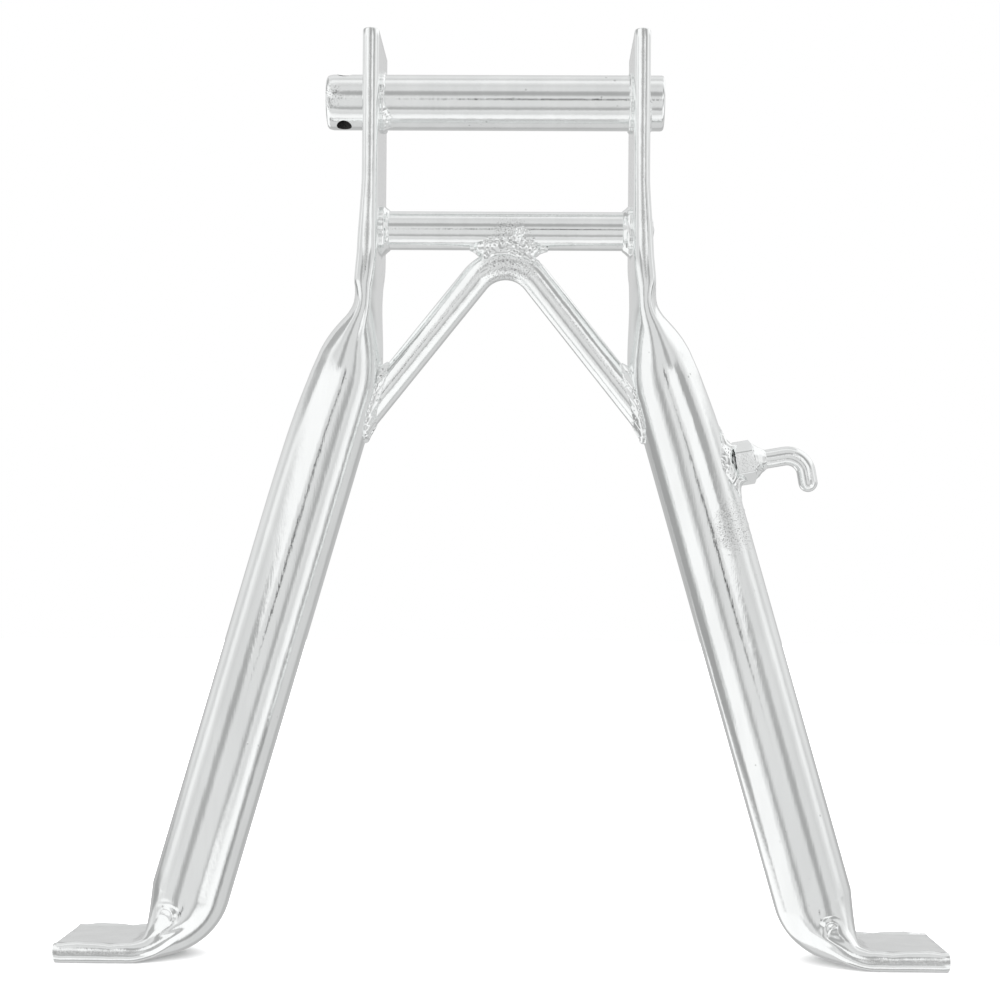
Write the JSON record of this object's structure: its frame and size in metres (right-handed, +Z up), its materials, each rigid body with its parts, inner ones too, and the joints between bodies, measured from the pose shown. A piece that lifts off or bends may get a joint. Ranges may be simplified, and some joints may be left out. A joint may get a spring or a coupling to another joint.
{
  "type": "moped centre stand",
  "caption": "Moped centre stand: crushed and bent tube legs joined by a pivot tube, a cross tube and a bent rod brace, with a spring hook on the right leg, welded and bright plated.",
  "frame": {"origin": "on the pivot axis, midway between the ears", "axes": "+X along the pivot tube toward the leg with the spring hook, +Y away from the viewer, +Z up from the feet to the pivot"},
  "size_m": [0.2904, 0.0378, 0.3044],
  "materials": {
    "plating": "bright zinc plated steel",
    "plated_weld": "bright zinc plated weld bead, rippled"
  },
  "bodies": {
    "root": {"left_leg": "plating", "right_leg": "plating", "pivot_tube": "plating", "cross_tube": "plating", "v_brace": "plating", "hook_nut": "plating", "spring_hook": "plating", "weld_pivot_left": "plated_weld", "weld_pivot_right": "plated_weld", "weld_pivot_tack": "plated_weld", "weld_cross_left": "plated_weld", "weld_cross_right": "plated_weld", "weld_cross_plug": "plated_weld", "weld_apex_front": "plated_weld", "weld_apex_back": "plated_weld", "weld_brace_left": "plated_weld", "weld_brace_right": "plated_weld", "weld_nut": "plated_weld", "weld_hook": "plated_weld"}
  },
  "joints": []
}
